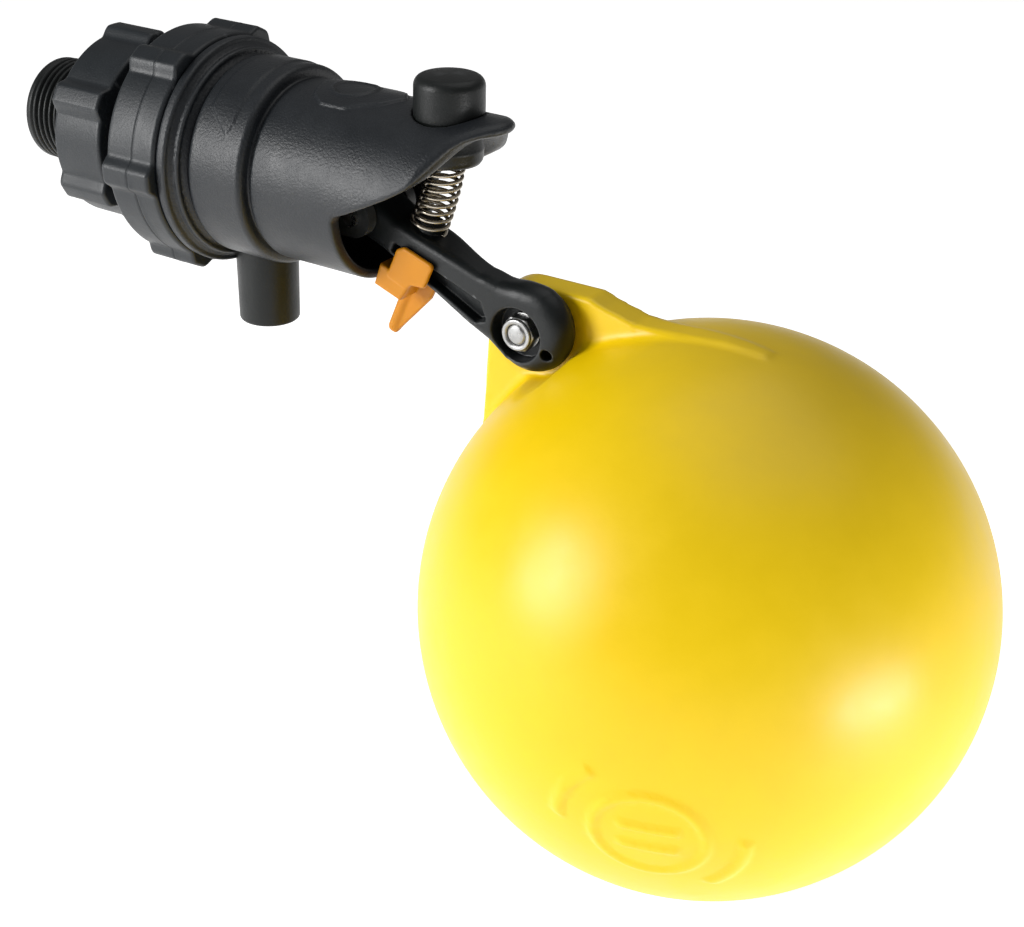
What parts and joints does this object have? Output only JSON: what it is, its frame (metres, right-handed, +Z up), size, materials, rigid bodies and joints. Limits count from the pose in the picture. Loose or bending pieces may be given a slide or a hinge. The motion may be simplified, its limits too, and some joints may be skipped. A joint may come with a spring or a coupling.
{
  "type": "float valve",
  "caption": "Servo float valve: threaded tank inlet, plastic body, hanging arm with lock clip, flush button and a hollow ball float.",
  "frame": {"origin": "centre of the inlet stem's free end, on the axis of the inlet bore", "axes": "+X along the valve's axis from the inlet towards the float, +Z up, +Y across; the arm hangs open, as in an empty tank"},
  "size_m": [0.263, 0.1368, 0.1864],
  "materials": {
    "body_black": "coarse spark-eroded grain, satin sheen",
    "nut_black": "fine grain, satin sheen",
    "smooth_black": "smooth moulded, semi-gloss",
    "arm_black": "smooth moulded, satin, worn edges",
    "float_yellow": "satin moulded, faint mottling",
    "clip_orange": "translucent moulded",
    "pale_plastic": "smooth moulded",
    "black_rubber": "matt",
    "red_rubber": "matt",
    "steel": "stainless, drawn and turned",
    "spring_steel": "drawn wire",
    "brass": "turned"
  },
  "bodies": {
    "root": {"inlet_stem": "smooth_black", "inlet_strainer": "smooth_black", "stem_oring": "black_rubber", "union_nut": "nut_black", "valve_body": "body_black", "seat_tube": "pale_plastic", "spacer_sleeve": "smooth_black", "diaphragm": "black_rubber", "metering_pin": "steel", "pilot_plate": "smooth_black", "pilot_jet": "brass", "outlet_pipe": "smooth_black", "pivot_pin": "steel", "button_spring": "spring_steel"},
    "wall_gasket": {"wall_gasket": "black_rubber"},
    "backnut": {"backnut": "nut_black"},
    "diaphragm_insert": {"diaphragm_insert": "pale_plastic"},
    "arm": {"arm": "arm_black", "pilot_seal": "red_rubber", "float_bolt": "steel", "bolt_washers": "steel", "float_nut": "steel"},
    "lock_clip": {"lock_clip": "clip_orange"},
    "flush_button": {"flush_button": "smooth_black"},
    "float": {"float": "float_yellow"}
  },
  "joints": [
    {"name": "arm_pivot", "type": "hinge", "parent": "root", "child": "arm", "pos_m": [0.103, 0, -0.006], "axis": [0, -1, 0], "range_deg": [0, 26], "deforming": ["button_spring"]},
    {"name": "float_tilt", "type": "hinge", "parent": "arm", "child": "float", "pos_m": [0.14693, 0.006, -0.02619], "axis": [0, -1, 0], "range_deg": [-25, 12]},
    {"name": "flush_button_press", "type": "slide", "parent": "root", "child": "flush_button", "axis": [0, 0, -1], "range_m": [0, 0.005], "stiffness_N_per_m": 150, "springref_m": -0.002},
    {"name": "lock_clip_slide", "type": "slide", "parent": "arm", "child": "lock_clip", "axis": [0.9259, 0, -0.3778], "range_m": [0, 0.006]},
    {"name": "gasket_slide", "type": "slide", "parent": "root", "child": "wall_gasket", "axis": [1, 0, 0], "range_m": [0, 0.0043]},
    {"name": "backnut_spin", "type": "hinge", "parent": "wall_gasket", "child": "backnut", "pos_m": [0.028, 0, 0], "axis": [1, 0, 0], "range_deg": [0, 833]},
    {"name": "diaphragm_lift", "type": "slide", "parent": "root", "child": "diaphragm_insert", "axis": [1, 0, 0], "range_m": [-0.0016, 0], "deforming": ["diaphragm"]}
  ],
  "couplings": [
    {"joint": "gasket_slide", "follows": "backnut_spin", "m_per_rad": 0.00028871},
    {"joint": "diaphragm_lift", "follows": "arm_pivot", "m_per_rad": -0.0033}
  ]
}
